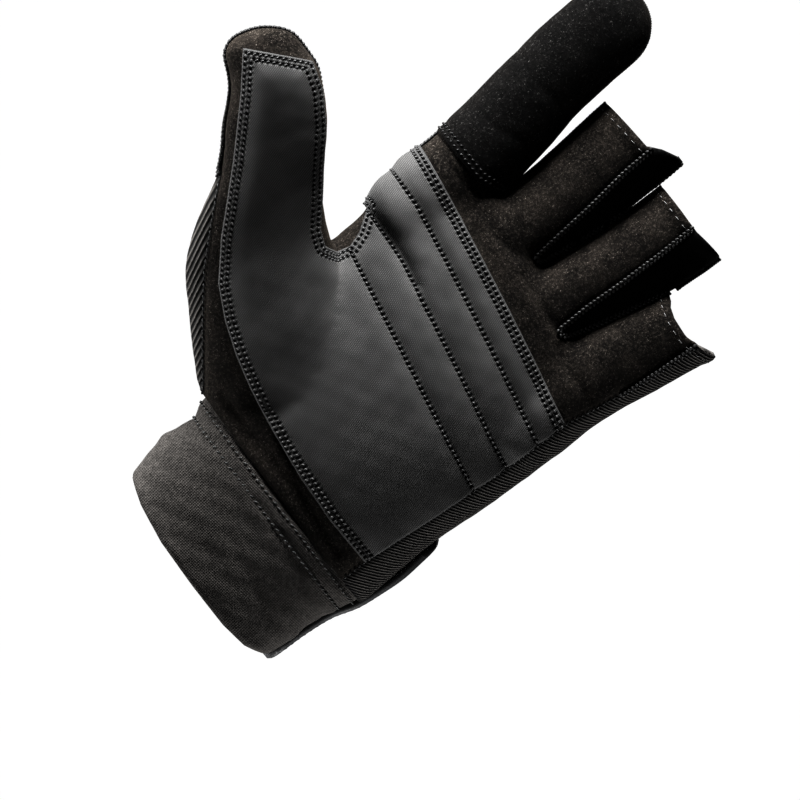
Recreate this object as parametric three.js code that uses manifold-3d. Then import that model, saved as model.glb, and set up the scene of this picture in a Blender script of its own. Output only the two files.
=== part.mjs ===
// A left-hand fishing casting glove in its worn shape, hollow, with no hand in it.
// Millimetres. +Z runs from the wrist to the fingertips, -Y is the palm side and the thumb is towards -X.
// The origin lies on the hand's axis in the wrist opening.
// Thumb and index finger are closed. The middle, ring and little fingers are short open stalls.
import * as THREE from "three";
import { mergeVertices } from "three/addons/utils/BufferGeometryUtils.js";
import Module from "manifold-3d";

const wasm = await Module();
wasm.setup();

// Driving sizes
const SUEDE_WALL = 1.6; // palm, back and finger stalls
const CUFF_WALL = 2.6; // foam-backed knit
const LAYER_GAP = 0.3; // air between pieces that are sewn to each other
const OVERLAY_THICKNESS = 1.2;
const COVER_THICKNESS = 1.0;
const STRAP_THICKNESS = 2.0;
const QUILT_DEPTH = 0.6;
const QUILT_WIDTH = 1.4;
const BEYOND = { left: -130, right: 70, bottom: -40, top: 260, depth: 80 }; // how far cutters reach
const OVERLAP = 0.5; // of cutters that are joined
const DIAGONAL = Math.SQRT1_2; // share of an offset along each axis on the slanted seam beside the thumb
const TIP_STEPS = 3; // rings of a rounded tip
const TIP_END = 0.02; // size of a rounded tip's last ring, as a share of the section

// The seam of cuff and hand runs straight across: height on the axis, and rise for each millimetre towards +X
const CUFF_SEAM = { height: 31.3, rise: -0.05 };

function table(columns, ...rows) {
  return rows.map((row) => Object.fromEntries(columns.map((name, i) => [name, row[i]])));
}

// One row for each section. along: distance on the axis. across, depth: the section's centre, to the side and
// towards the back. width: half width. front, back: half depths on the palm side and the back. rise: how much
// the section climbs for each millimetre across.
const SECTION = ["along", "across", "depth", "width", "front", "back", "rise"];

const PALM = {
  at: [0, 0],
  lean: 0,
  sides: 22,
  squareness: 2.2,
  cap: 9,
  rows: table(
    SECTION,
    [20, 1.0, 0, 38.0, 18.0, 20.2, -0.05],
    [34, 0.5, 0, 40.0, 18.6, 19.6, -0.05],
    [48, -0.8, 0, 41.0, 19.8, 18.4, -0.05],
    [62, -2.0, 0, 42.5, 20.4, 17.4, -0.06],
    [76, -2.6, 0, 44.6, 19.6, 17.0, -0.09],
    [90, -2.7, 0, 45.7, 18.0, 16.6, -0.13],
    [104, -2.5, 0, 46.3, 16.4, 16.0, -0.17],
    [116, -2.7, 0, 47.2, 15.0, 15.0, -0.21],
    [127, -3.1, 0, 47.6, 13.4, 13.2, -0.23],
  ),
};

const THUMB = {
  at: [-30, 66],
  lean: 58,
  sides: 18,
  squareness: 2.15,
  cap: 6.5,
  rows: table(
    SECTION,
    [-16, -7.8, -2.0, 24.8, 17.0, 15.0, 0],
    [0, -7.7, -3.9, 25.2, 17.4, 15.0, 0],
    [15, -9.2, -6.2, 23.2, 16.4, 14.6, 0],
    [30, -9.3, -9.0, 21.7, 15.2, 14.2, 0],
    [38, -8.0, -12.0, 19.7, 14.2, 13.6, 0],
    [46, -5.3, -15.4, 17.5, 13.4, 13.2, 0],
    [53, -2.3, -18.2, 16.0, 12.8, 12.8, 0],
    [61, 0.3, -21.3, 15.6, 12.4, 12.5, 0],
    [68, 1.6, -23.8, 15.2, 12.0, 12.0, 0],
    [75, 2.8, -25.9, 13.9, 11.4, 11.4, 0],
    [82, 2.9, -27.3, 12.9, 10.6, 10.8, 0],
    [88, 0.6, -27.6, 11.5, 9.2, 9.6, 0],
  ),
};

const INDEX = {
  at: [0, 0],
  lean: 0,
  sides: 14,
  squareness: 2.1,
  cap: 13,
  rows: table(
    SECTION,
    [108, -37.5, 0.0, 13.2, 13.5, 13.5, 0],
    [124, -39.0, 0.0, 13.5, 13.0, 13.0, 0],
    [138, -39.6, -0.6, 12.9, 12.4, 12.6, 0],
    [149, -40.6, -1.3, 12.6, 12.0, 12.3, 0],
    [160, -41.7, -2.2, 12.5, 11.6, 12.0, 0],
    [172, -43.2, -3.3, 12.0, 11.2, 11.6, 0],
    [185, -44.1, -4.7, 12.1, 10.7, 11.2, 0],
    [196.5, -44.2, -6.2, 12.2, 10.1, 10.6, 0],
  ),
};

const MIDDLE = {
  at: [0, 0],
  lean: 0,
  sides: 14,
  squareness: 2.1,
  rows: table(
    SECTION,
    [106, -15.0, 0.0, 12.5, 13.5, 13.5, 0],
    [122, -14.9, 0.5, 12.4, 13.2, 13.2, 0],
    [136, -14.7, 0.5, 12.0, 12.8, 12.8, 0],
    [148, -13.6, 0.2, 12.1, 12.4, 12.4, 0],
    [160, -12.8, -0.3, 13.0, 12.2, 12.2, 0],
    [172, -12.9, -1.0, 13.6, 12.0, 12.0, 0],
    [184, -13.0, -1.8, 14.0, 11.8, 11.8, 0],
    [198, -13.0, -2.8, 14.2, 11.8, 11.8, 0],
  ),
};

const RING = {
  at: [0, 0],
  lean: 0,
  sides: 14,
  squareness: 2.1,
  rows: table(
    SECTION,
    [102, 8.0, 0.0, 12.5, 13.2, 13.2, 0],
    [118, 8.8, 0.3, 12.2, 12.8, 12.8, 0],
    [130, 9.7, 0.2, 12.1, 12.4, 12.4, 0],
    [140, 10.9, -0.1, 12.6, 12.1, 12.1, 0],
    [150, 12.9, -0.6, 12.8, 11.9, 11.9, 0],
    [160, 14.9, -1.1, 13.2, 11.7, 11.7, 0],
    [170, 16.1, -1.8, 13.4, 11.5, 11.5, 0],
    [190, 16.9, -3.0, 13.4, 11.5, 11.5, 0],
  ),
};

const LITTLE = {
  at: [0, 0],
  lean: 0,
  sides: 14,
  squareness: 2.1,
  rows: table(
    SECTION,
    [94, 30.0, -1.0, 13.6, 12.6, 12.6, 0],
    [110, 31.0, -1.4, 13.0, 12.0, 12.0, 0],
    [124, 32.4, -1.8, 13.1, 11.6, 11.6, 0],
    [134, 34.3, -2.2, 13.2, 11.2, 11.2, 0],
    [144, 36.6, -2.8, 12.9, 10.9, 10.9, 0],
    [154, 39.2, -3.4, 12.1, 10.6, 10.6, 0],
    [166, 42.6, -4.4, 11.2, 10.4, 10.4, 0],
  ),
};

const CUFF = {
  at: [0, 0],
  lean: 0,
  sides: 22,
  squareness: 2.2,
  rows: table(
    SECTION,
    [-12, 0.6, 0, 33.6, 17.2, 23.4, -0.06],
    [0, 0.5, 0, 34.0, 17.4, 23.1, -0.06],
    [8, 0.0, 0, 35.1, 17.6, 22.8, -0.06],
    [14, -0.4, 0, 36.0, 17.8, 22.5, -0.06],
    [20, 0.5, 0, 35.6, 18.0, 22.0, -0.05],
    [25.5, 1.4, 0, 36.2, 18.2, 21.3, -0.05],
    [31.5, 1.0, 0, 38.9, 18.5, 20.4, -0.05],
    [40, 1.0, 0, 40.5, 19.0, 19.3, -0.05],
  ),
};

// The surface that the closure strap lies in. It stands off the side of the hand above the wrist.
const STRAP = {
  at: [0, 0],
  lean: 0,
  sides: 20,
  squareness: 2.4,
  rows: table(
    SECTION,
    [-10, 0.6, 0, 35.9, 22.0, 26.4, -0.06],
    [4, 0.2, 0, 36.3, 22.0, 26.0, -0.06],
    [14, -0.4, 0, 37.6, 22.0, 25.5, -0.05],
    [22, 0.6, 0, 37.9, 22.0, 24.8, -0.05],
    [30, 0.8, 0, 40.4, 22.0, 23.5, -0.05],
    [38, 0.5, 0, 42.0, 22.0, 22.3, -0.05],
    [46, -0.2, 0, 43.5, 21.0, 21.0, -0.05],
    [54, -0.9, 0, 43.9, 21.0, 20.2, -0.05],
    [68, -2.2, 0, 44.3, 20.0, 18.9, -0.06],
  ),
};

const BODY = [PALM, THUMB, INDEX, MIDDLE, RING, LITTLE];

// Outlines in the plane of the palm, as [x, z]
const LITTLE_SIDE_SEAM = [
  [31.2, 20],
  [31.6, 38],
  [33.0, 50],
  [34.6, 62],
  [36.2, 76],
  [37.6, 90],
  [38.4, 102],
  [39.0, 112],
  [41.0, 121],
  [43.0, 132],
  [44.4, 144],
  [45.6, 156],
];
const WRIST_EDGE = [
  [-45, 3.5],
  [-33, 1],
  [-25, -1.8],
  [-12, -4.2],
  [4, -5.4],
  [19, -6],
  [28, -5.2],
  [34.5, -2.6],
  [45, 1],
];
const THUMB_SIDE_SEAM = [
  [-84.5, 79.5],
  [-75.5, 69],
  [-65.5, 57.5],
  [-55.5, 48.5],
  [-46, 40.3],
  [-38.5, 34],
];
// The seam round the base of the thumb, from the wrist to the web, at the same place on palm side and back
const THUMB_SEAM = [
  [-34, 20],
  [-38, 60],
  [-47, 84],
  [-56, 97],
  [-58, 112],
];
// The way round the outside of the thumb, where no seam limits the suede
const ROUND_THUMB = [
  [BEYOND.left, 108],
  [-94, 88],
];
const HEM_LINE = [
  [-29.2, 182],
  [-9, 182.6],
  [-5, 185.6],
  [2.1, 188.8],
  [2.1, 178.8],
  [10, 178.2],
  [20, 177.6],
  [31.2, 178.7],
  [31.2, 169],
  [28.3, 160.3],
  [31, 157.6],
  [35, 156],
  [42, 155],
  [46.5, 156],
  [55, 159.4],
];
const MIDDLE_STALL_SIDE = [
  [-7.9, 200],
  [-7.6, 172],
  [-6.4, 158],
  [-6, 146],
  [-5.6, 137],
];
const BETWEEN_MIDDLE_AND_RING = [
  [-3.4, 137],
  [-1.0, 148],
  [0.7, 158],
  [1.5, 172],
  [2.1, 200],
];
const RING_STALL_SIDE = [
  [18.8, 200],
  [18, 165],
  [17.1, 150],
  [16, 138],
  [16, 128],
];
const BETWEEN_RING_AND_LITTLE = [
  [18.6, 128],
  [22.4, 138],
  [25.2, 148],
  [27.9, 159],
  [31.2, 169],
  [31.2, 200],
];
const OVERLAY_OUTLINE = {
  thumbTip: [
    [-92.2, 121.8],
    [-108, 109],
  ],
  heel: [
    [-98.5, 100.4],
    [-84.6, 85.6],
    [-69.6, 67.9],
    [-59.8, 58.6],
    [-50, 53],
    [-40, 48.9],
    [-29.5, 45.7],
    [-19.5, 43.4],
    [-9.5, 41.5],
    [0, 40.2],
    [15, 38.6],
    [31.6, 38.4],
  ],
  distal: [
    [38.2, 110.8],
    [20, 115.4],
    [0, 120.2],
    [-20, 124.6],
    [-40, 128.9],
    [-54.5, 131.6],
  ],
  thumbNotch: [
    [-53.5, 106.6],
    [-48.6, 106.6],
    [-44.6, 100.5],
    [-43.2, 95.6],
    [-44.6, 91.3],
    [-48.4, 89.6],
    [-53, 91.8],
    [-59.4, 97.6],
    [-66.5, 104],
    [-75, 112.4],
    [-84, 118.8],
  ],
};
// The overlay ends beside the little-finger seam between two heights, and short of the parting at the thumb
const OVERLAY_SIDE = { inset: 0.6, from: 40, to: 108 };
const OVERLAY_REACH = -6.6;
const QUILT_LINES = [
  [
    [-42.2, 94.9],
    [-20, 89.6],
    [0, 85],
    [20, 80.4],
    [33.8, 77.6],
  ],
  [
    [-49.5, 107],
    [-30, 104.4],
    [-10, 99.9],
    [10, 95.2],
    [25, 91.4],
    [35.6, 89.2],
  ],
  [
    [-51.5, 119.8],
    [-40, 118.6],
    [-20, 114.3],
    [0, 109.6],
    [20, 104.8],
    [36.6, 100.8],
  ],
];
const INDEX_COVER_OUTLINE = [
  [-60, 138.2],
  [-45, 137.6],
  [-34.5, 137.2],
  [-29.6, 139.2],
  [-28.4, 152],
  [-29.2, 162],
  [-29.6, 225],
  [-62, 225],
];
// The strap from the back, and from the side with its depth as left and right
const STRAP_FROM_BACK = { left: -16, right: 60, bottom: -3, top: 60, corner: 9 };
const STRAP_FROM_SIDE = { left: 0.8, right: 60, bottom: -3, top: 60, corner: 7 };
// The seam between palm side and back: depth of the line at each height of the fingers, and for each x of
// the thumb
const FINGER_PARTING = [
  [3, 118],
  [0.5, 140],
  [-1, 160],
  [-2.5, 178],
  [-5.5, 197],
  [-8.5, 260],
];
const PALM_EDGE = -53;
const THUMB_PARTING = [
  [-53, 3],
  [-58, -3],
  [-64, -8.5],
  [-75, -16],
  [-92, -24.5],
  [-130, -28],
];
const THUMB_TOP = 128;

// A closed mesh as a solid that can be cut and joined
function solidOf(geometry) {
  const bare = geometry.clone();
  bare.deleteAttribute("normal");
  bare.deleteAttribute("uv");
  const merged = mergeVertices(bare, 1e-4);
  return new wasm.Manifold(
    new wasm.Mesh({
      numProp: 3,
      vertProperties: new Float32Array(merged.attributes.position.array),
      triVerts: new Uint32Array(merged.index.array),
    }),
  );
}

// One section as a ring of points. grow moves the surface outwards, and shrink closes a rounded tip.
function ring(form, row, grow, shrink) {
  const lean = THREE.MathUtils.degToRad(form.lean);
  const power = 2 / form.squareness;
  const points = [];
  for (let i = 0; i < form.sides; i++) {
    const angle = (2 * Math.PI * i) / form.sides;
    const c = Math.cos(angle);
    const s = Math.sin(angle);
    const halfDepth = s < 0 ? row.front : row.back;
    const side = Math.sign(c) * Math.abs(c) ** power * (row.width + grow) * shrink;
    const across = row.across + side;
    const y = row.depth + Math.sign(s) * Math.abs(s) ** power * (halfDepth + grow) * shrink;
    const along = row.along + side * row.rise;
    points.push([
      form.at[0] + across * Math.cos(lean) - along * Math.sin(lean),
      y,
      form.at[1] + across * Math.sin(lean) + along * Math.cos(lean),
    ]);
  }
  return points;
}

// A closed tube through all sections of a form, with a rounded tip where the form has one
function loft(form, grow = 0) {
  const rings = form.rows.map((row) => ring(form, row, grow, 1));
  const last = form.rows.at(-1);
  if (form.cap) {
    for (let k = 1; k < TIP_STEPS; k++) {
      const turn = (k / TIP_STEPS) * (Math.PI / 2);
      const row = { ...last, along: last.along + (form.cap + grow) * Math.sin(turn) };
      rings.push(ring(form, row, grow, Math.cos(turn)));
    }
    rings.push(ring(form, { ...last, along: last.along + form.cap + grow }, grow, TIP_END));
  }
  const vertices = rings.flat();
  const middle = (points) => [0, 1, 2].map((k) => points.reduce((sum, p) => sum + p[k], 0) / points.length);
  const bottom = vertices.push(middle(rings[0])) - 1;
  const top = vertices.push(middle(rings.at(-1))) - 1;
  const n = form.sides;
  const faces = [];
  for (let i = 0; i < n; i++) {
    const j = (i + 1) % n;
    faces.push(bottom, j, i);
    for (let r = 0; r + 1 < rings.length; r++) {
      const low = r * n;
      const high = low + n;
      faces.push(low + i, low + j, high + j, low + i, high + j, high + i);
    }
    const end = (rings.length - 1) * n;
    faces.push(top, end + i, end + j);
  }
  const geometry = new THREE.BufferGeometry();
  geometry.setAttribute("position", new THREE.Float32BufferAttribute(vertices.flat(), 3));
  geometry.setIndex(faces);
  return solidOf(geometry);
}

// The outside of hand, thumb and fingers as one solid, moved outwards by grow
function body(grow) {
  return BODY.map((form) => loft(form, grow)).reduce((all, one) => all.add(one));
}

function shapeOf(points) {
  return new THREE.Shape(points.map(([p, q]) => new THREE.Vector2(p, q)));
}

// A prism on an outline in the plane of the palm, from one depth to another
function palmPrism(points, from = -BEYOND.depth, to = BEYOND.depth) {
  const geometry = new THREE.ExtrudeGeometry(shapeOf(points), { depth: to - from, bevelEnabled: false });
  geometry.rotateX(Math.PI / 2);
  geometry.translate(0, to, 0);
  return solidOf(geometry);
}

// A prism on an outline of [depth, height] that runs across the hand
function sidePrism(points, from, to) {
  const geometry = new THREE.ExtrudeGeometry(shapeOf(points), { depth: to - from, bevelEnabled: false });
  const turn = new THREE.Matrix4().makeBasis(
    new THREE.Vector3(0, 1, 0),
    new THREE.Vector3(0, 0, 1),
    new THREE.Vector3(1, 0, 0),
  );
  geometry.applyMatrix4(turn);
  geometry.translate(from, 0, 0);
  return solidOf(geometry);
}

// A prism on an outline of [x, depth] that runs up the hand
function upPrism(points, from, to) {
  const geometry = new THREE.ExtrudeGeometry(shapeOf(points), { depth: to - from, bevelEnabled: false });
  geometry.translate(0, 0, from);
  return solidOf(geometry);
}

// The same outline moved across the palm
const shifted = (points, dx, dz = 0) => points.map(([x, z]) => [x + dx, z + dz]);

// Everything above a line that runs across the glove
const above = (line) => palmPrism([...line, [BEYOND.right, BEYOND.top], [BEYOND.left, BEYOND.top]]);

// The seam of cuff and hand as a line, moved up by an offset
const cuffSeam = (offset) =>
  [BEYOND.left, BEYOND.right].map((x) => [x, CUFF_SEAM.height + CUFF_SEAM.rise * x + offset]);

// The palm side of the parting, which dips forward along the fingers and along the thumb. Below the top of
// the thumb and past the palm's edge the thumb's line holds, and elsewhere the fingers' line.
function palmSide(grow) {
  const { left, right, bottom, top, depth } = BEYOND;
  const fingerLine = FINGER_PARTING.map(([y, z]) => [y + grow, z]);
  const [lowest] = fingerLine[0];
  const besideFingers = [[-depth, bottom], [lowest, bottom], ...fingerLine, [-depth, top]];
  const fingers = sidePrism(besideFingers, PALM_EDGE - OVERLAP, right);
  const besideThumb = fingerLine.filter(([, z]) => z > THUMB_TOP);
  const index = sidePrism([[-depth, THUMB_TOP], ...besideThumb, [-depth, top]], left, PALM_EDGE);
  const thumbLine = THUMB_PARTING.map(([x, y]) => [x, y + grow]);
  const thumb = upPrism([...thumbLine, [left, -depth], [PALM_EDGE, -depth]], bottom, THUMB_TOP + OVERLAP);
  return fingers.add(index).add(thumb);
}

// The suede palm's outline. It stops at the two rib-knit sides and runs out past the fingers and the thumb.
function palmRegion(grow) {
  const { left, bottom, top } = BEYOND;
  const little = shifted(LITTLE_SIDE_SEAM, grow);
  const thumb = shifted(THUMB_SIDE_SEAM, -DIAGONAL * grow, -DIAGONAL * grow);
  const [lowX] = little[0];
  const [highX] = little.at(-1);
  const [thumbX] = thumb.at(-1);
  return palmPrism([
    [lowX, bottom],
    ...little,
    [highX, top],
    [left, top],
    ...ROUND_THUMB,
    ...thumb,
    [thumbX, bottom],
  ]).intersect(palmSide(grow));
}

const FOURCHETTE_REGIONS = {
  fourchette_middle: [MIDDLE_STALL_SIDE, BETWEEN_MIDDLE_AND_RING],
  fourchette_ring: [RING_STALL_SIDE, BETWEEN_RING_AND_LITTLE],
};

// The narrow side strip of one finger stall, front half only
function fourchetteRegion([seam, limit], grow) {
  return palmPrism([...shifted(seam, -grow), ...limit]).intersect(palmSide(grow));
}

// A band of one width along a line
function bandAlong(points, width) {
  const left = [];
  const right = [];
  points.forEach(([x, z], i) => {
    const [ax, az] = points[Math.max(i - 1, 0)];
    const [bx, bz] = points[Math.min(i + 1, points.length - 1)];
    const length = Math.hypot(bx - ax, bz - az);
    const nx = (-(bz - az) / length) * (width / 2);
    const nz = ((bx - ax) / length) * (width / 2);
    left.push([x + nx, z + nz]);
    right.unshift([x - nx, z - nz]);
  });
  return palmPrism([...left, ...right], -BEYOND.depth, 0);
}

// A rectangle with round corners, given by its four sides
function roundedOutline({ left, right, bottom, top, corner }) {
  const centres = [
    [right - corner, bottom + corner, -90],
    [right - corner, top - corner, 0],
    [left + corner, top - corner, 90],
    [left + corner, bottom + corner, 180],
  ];
  return centres.flatMap(([x, z, start]) =>
    [0, 0.25, 0.5, 0.75, 1].map((share) => {
      const angle = THREE.MathUtils.degToRad(start + 90 * share);
      return [x + corner * Math.cos(angle), z + corner * Math.sin(angle)];
    }),
  );
}

const outside = body(0);
const shell = outside
  .subtract(body(-SUEDE_WALL))
  .intersect(above(cuffSeam(LAYER_GAP / 2)))
  .subtract(above([[HEM_LINE[0][0], BEYOND.top - OVERLAP], ...HEM_LINE]));

const back = shell.subtract(palmRegion(LAYER_GAP / 2));
const front = Object.values(FOURCHETTE_REGIONS)
  .map((region) => fourchetteRegion(region, LAYER_GAP / 2))
  .reduce((rest, strip) => rest.subtract(strip), shell.intersect(palmRegion(-LAYER_GAP / 2)));

// The thumb's side of the seam round its base. It ends at the web, below the index finger.
function thumbRegion(grow) {
  const { left, bottom } = BEYOND;
  const seam = shifted(THUMB_SEAM, grow);
  const [lowX] = seam[0];
  const [highX] = seam.at(-1);
  return palmPrism([[left, bottom], [lowX, bottom], ...seam, [highX, THUMB_TOP], [left, THUMB_TOP]]);
}

const handPart = (half) => half.subtract(thumbRegion(LAYER_GAP / 2));
const thumbPart = (half) => half.intersect(thumbRegion(-LAYER_GAP / 2));

function fourchette(region) {
  return shell.intersect(fourchetteRegion(region, -LAYER_GAP / 2));
}

// A layer of cloth sewn on the palm side of the glove, over an outline
function frontLayer(outline, thickness, reach) {
  const low = body(LAYER_GAP);
  const high = body(LAYER_GAP + thickness);
  return high.subtract(low).intersect(outline).intersect(palmSide(reach));
}

function palmOverlay() {
  const { thumbTip, heel, distal, thumbNotch } = OVERLAY_OUTLINE;
  const { inset, from, to } = OVERLAY_SIDE;
  const littleEdge = shifted(LITTLE_SIDE_SEAM, -inset).filter(([, z]) => z > from && z < to);
  const outline = palmPrism([...thumbTip, ...heel, ...littleEdge, ...distal, ...thumbNotch]);
  const floor = body(LAYER_GAP + OVERLAY_THICKNESS - QUILT_DEPTH);
  const roof = body(LAYER_GAP + OVERLAY_THICKNESS + OVERLAP);
  const quilt = QUILT_LINES.map((line) => bandAlong(line, QUILT_WIDTH)).reduce((all, one) => all.add(one));
  const grooves = quilt.intersect(roof.subtract(floor));
  return frontLayer(outline, OVERLAY_THICKNESS, OVERLAY_REACH).subtract(grooves);
}

function indexCover() {
  return frontLayer(palmPrism(INDEX_COVER_OUTLINE), COVER_THICKNESS, 0);
}

function wristCuff() {
  return loft(CUFF)
    .subtract(loft(CUFF, -CUFF_WALL))
    .intersect(above(WRIST_EDGE))
    .subtract(above(cuffSeam(-LAYER_GAP / 2)));
}

function closureStrap() {
  return loft(STRAP)
    .subtract(loft(STRAP, -STRAP_THICKNESS))
    .subtract(body(LAYER_GAP))
    .subtract(loft(CUFF, LAYER_GAP))
    .intersect(palmPrism(roundedOutline(STRAP_FROM_BACK), 0, BEYOND.depth))
    .intersect(sidePrism(roundedOutline(STRAP_FROM_SIDE), BEYOND.left, BEYOND.right));
}

const MATERIALS = {
  suede: { color: 0x2a2623, roughness: 0.95, metalness: 0 },
  cover_suede: { color: 0x1b1a1a, roughness: 0.97, metalness: 0 },
  twill: { color: 0x4b4a49, roughness: 0.72, metalness: 0 },
  rib_knit: { color: 0x211f1e, roughness: 0.9, metalness: 0 },
  side_knit: { color: 0x101010, roughness: 0.9, metalness: 0 },
  cuff_knit: { color: 0x383533, roughness: 0.88, metalness: 0 },
  strap_rubber: { color: 0x1c1f22, roughness: 0.55, metalness: 0 },
};

function piece(name, solid, material) {
  const mesh = solid.getMesh();
  const geometry = new THREE.BufferGeometry();
  geometry.setAttribute("position", new THREE.Float32BufferAttribute(mesh.vertProperties, 3));
  geometry.setIndex(new THREE.BufferAttribute(mesh.triVerts, 1));
  geometry.computeVertexNormals();
  const made = new THREE.Mesh(geometry, new THREE.MeshStandardMaterial(MATERIALS[material]));
  made.name = name;
  return made;
}

const glove = new THREE.Group();
glove.name = "casting_glove";
glove.add(
  piece("palm_panel", handPart(front), "suede"),
  piece("thumb_suede", thumbPart(front), "suede"),
  piece("back_panel", handPart(back), "rib_knit"),
  piece("thumb_panel", thumbPart(back), "rib_knit"),
  piece("palm_overlay", palmOverlay(), "twill"),
  piece("index_cover", indexCover(), "cover_suede"),
  piece("wrist_cuff", wristCuff(), "cuff_knit"),
  piece("closure_strap", closureStrap(), "strap_rubber"),
);
for (const [name, region] of Object.entries(FOURCHETTE_REGIONS)) {
  glove.add(piece(name, fourchette(region), "side_knit"));
}

export default glove;
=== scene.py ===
import math

import bpy
import numpy as np
from mathutils import Matrix, Vector, kdtree


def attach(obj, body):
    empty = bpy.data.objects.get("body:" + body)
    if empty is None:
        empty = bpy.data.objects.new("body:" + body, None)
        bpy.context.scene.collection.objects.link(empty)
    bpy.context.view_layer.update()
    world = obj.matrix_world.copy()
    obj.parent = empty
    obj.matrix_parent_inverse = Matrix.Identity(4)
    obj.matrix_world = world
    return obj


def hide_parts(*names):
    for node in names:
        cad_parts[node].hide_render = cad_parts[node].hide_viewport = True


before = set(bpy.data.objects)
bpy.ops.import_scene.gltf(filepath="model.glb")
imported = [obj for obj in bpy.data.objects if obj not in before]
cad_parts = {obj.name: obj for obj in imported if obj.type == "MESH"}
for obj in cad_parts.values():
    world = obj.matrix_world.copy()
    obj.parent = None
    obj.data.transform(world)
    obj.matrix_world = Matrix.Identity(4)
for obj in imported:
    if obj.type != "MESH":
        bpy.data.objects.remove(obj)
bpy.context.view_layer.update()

# Picture and studio. The camera looks straight at the palm from 2.4 m with a long lens and is rolled, so that
# the fingers point up and to the right. The room is plain white, and the main light stands on the thumb's side.
VIEW_CENTRE_MM = (1.3, 77.6)
VIEW_WIDTH_MM = 240.0
VIEW_DISTANCE_MM = 2400.0
SENSOR_MM = 36.0
ROLL = math.radians(50)
PICTURE_GAMMA = 0.65
ROOM_RADIUS = 3.0
ROOM_LIGHT = 0.02
FLOOR_RADIUS = 2.9
FLOOR_HEIGHT = -0.45
scene = bpy.context.scene
scene.view_settings.view_transform = "Standard"
scene.view_settings.gamma = PICTURE_GAMMA
lens = bpy.data.cameras.new("camera")
lens.sensor_width = SENSOR_MM
lens.lens = SENSOR_MM * VIEW_DISTANCE_MM / VIEW_WIDTH_MM
camera = bpy.data.objects.new("camera", lens)
scene.collection.objects.link(camera)
camera.matrix_world = Matrix(
    (
        (math.cos(ROLL), -math.sin(ROLL), 0, VIEW_CENTRE_MM[0] / 1000),
        (0, 0, -1, -VIEW_DISTANCE_MM / 1000),
        (math.sin(ROLL), math.cos(ROLL), 0, VIEW_CENTRE_MM[1] / 1000),
        (0, 0, 0, 1),
    )
)
scene.camera = camera


def lamp(name, place, aim, size, power):
    light = bpy.data.lights.new(name, "AREA")
    light.size = size
    light.energy = power
    made = bpy.data.objects.new(name, light)
    scene.collection.objects.link(made)
    made.location = place
    made.rotation_euler = (Vector(aim) - Vector(place)).to_track_quat("-Z", "Y").to_euler()


lamp("key", (-0.53, -0.2, 0.58), (-0.02, 0, 0.1), size=0.26, power=27)
lamp("side", (-0.62, 0.06, -0.32), (-0.02, 0, 0.08), size=0.3, power=11)
lamp("front", (0.1, -1.3, 0.3), (0, 0, 0.08), size=0.9, power=0.2)
lamp("edge", (0.4, 0.03, -0.2), (0.03, 0, 0.02), size=0.2, power=3.2)
lamp("behind", (0.1, 1.0, 0.5), (0, 0, 0.08), size=0.9, power=9)

room = bpy.data.worlds.new("room")
scene.world = room
room.use_nodes = True
room_shader = room.node_tree.nodes["Background"]
room_shader.inputs["Color"].default_value = (1, 1, 1, 1)
room_shader.inputs["Strength"].default_value = ROOM_LIGHT


def plain(name, color, glow):
    made = bpy.data.materials.new(name)
    made.use_nodes = True
    shader = made.node_tree.nodes["Principled BSDF"]
    shader.inputs["Base Color"].default_value = color
    shader.inputs["Roughness"].default_value = 0.9
    shader.inputs["Emission Color"].default_value = (1, 1, 1, 1)
    shader.inputs["Emission Strength"].default_value = glow
    return made


bpy.ops.mesh.primitive_uv_sphere_add(segments=48, ring_count=24, radius=ROOM_RADIUS, location=(0, 0, 0))
backdrop = bpy.context.object
backdrop.name = "backdrop"
backdrop.data.materials.append(plain("white_wall", (0, 0, 0, 1), glow=1.0))
backdrop.visible_diffuse = False
backdrop.visible_glossy = False
backdrop.visible_shadow = False
bpy.ops.mesh.primitive_circle_add(
    vertices=64, radius=FLOOR_RADIUS, fill_type="NGON", location=(0, 0, FLOOR_HEIGHT)
)
floor = bpy.context.object
floor.name = "floor"
floor.data.materials.append(plain("pale_floor", (0.8, 0.8, 0.8, 1), glow=0.25))
floor.visible_diffuse = False

# Form that the cloth is cut to. Palm, thumb and four fingers are tubes, merged and eased into each other. Each
# row is a section in millimetres: distance along the tube, centre across and in depth, half width, half depths
# on the palm side and the back, and how much the section climbs across the glove.
PALM_ROWS = (
    (20, 1.0, 0, 38.0, 18.0, 20.2, -0.05),
    (34, 0.5, 0, 40.0, 18.6, 19.6, -0.05),
    (48, -0.8, 0, 41.0, 19.8, 18.4, -0.05),
    (62, -2.0, 0, 42.5, 20.4, 17.4, -0.06),
    (76, -2.6, 0, 44.6, 19.6, 17.0, -0.09),
    (90, -2.7, 0, 45.7, 18.0, 16.6, -0.13),
    (104, -2.5, 0, 46.3, 16.4, 16.0, -0.17),
    (116, -2.7, 0, 47.2, 15.0, 15.0, -0.21),
    (127, -3.1, 0, 47.6, 13.4, 13.2, -0.23),
)
THUMB_ROWS = (
    (-16, -7.8, -2.0, 24.8, 17.0, 15.0, 0),
    (0, -7.7, -3.9, 25.2, 17.4, 15.0, 0),
    (15, -9.2, -6.2, 23.2, 16.4, 14.6, 0),
    (30, -9.3, -9.0, 21.7, 15.2, 14.2, 0),
    (38, -8.0, -12.0, 19.7, 14.2, 13.6, 0),
    (46, -5.3, -15.4, 17.5, 13.4, 13.2, 0),
    (53, -2.3, -18.2, 16.0, 12.8, 12.8, 0),
    (61, 0.3, -21.3, 15.6, 12.4, 12.5, 0),
    (68, 1.6, -23.8, 15.2, 12.0, 12.0, 0),
    (75, 2.8, -25.9, 13.9, 11.4, 11.4, 0),
    (82, 2.9, -27.3, 12.9, 10.6, 10.8, 0),
    (88, 0.6, -27.6, 11.5, 9.2, 9.6, 0),
)
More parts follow.
